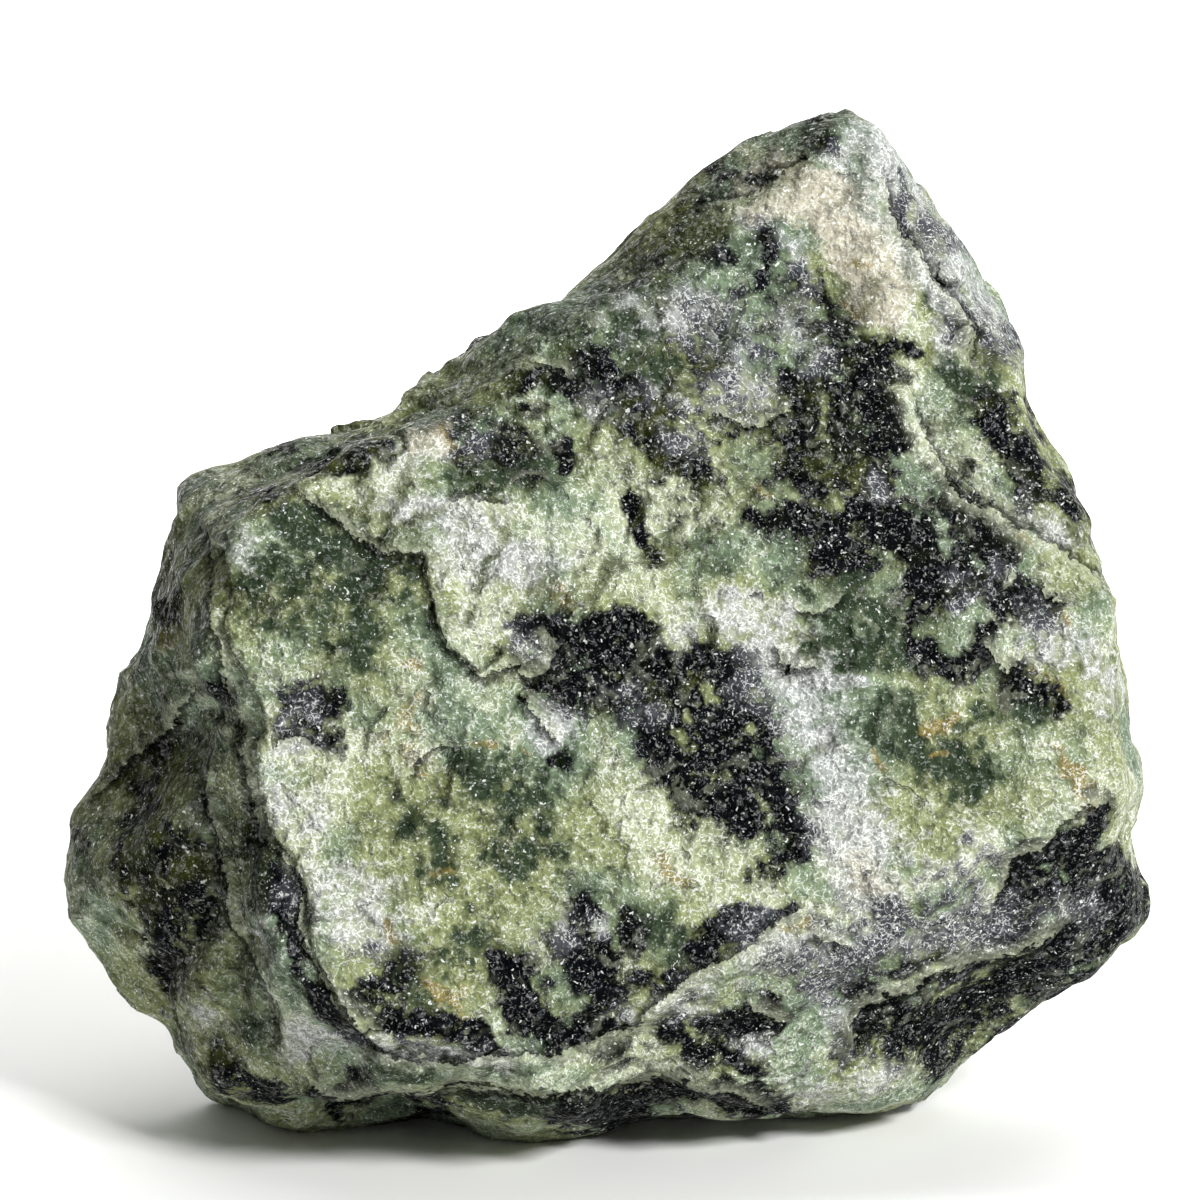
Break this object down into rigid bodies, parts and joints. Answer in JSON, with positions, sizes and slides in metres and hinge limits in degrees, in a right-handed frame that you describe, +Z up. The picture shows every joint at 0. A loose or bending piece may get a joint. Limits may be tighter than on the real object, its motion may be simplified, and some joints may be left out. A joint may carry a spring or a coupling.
{
  "type": "raw jade boulder",
  "caption": "Raw lump of mottled green and black jade rock with a broad flat front, a peak to the right and a flat patch under it to stand on.",
  "frame": {"origin": "on the ground, in the flat resting patch, straight below the point inside the stone from which its skin is measured", "axes": "+X to the right of the broad front face, +Y away from the front, +Z up"},
  "size_m": [0.1938, 0.1243, 0.1798],
  "materials": {
    "jade_rock": "broken sugary rock, unpolished"
  },
  "bodies": {
    "root": {"stone": "jade_rock"}
  },
  "joints": []
}
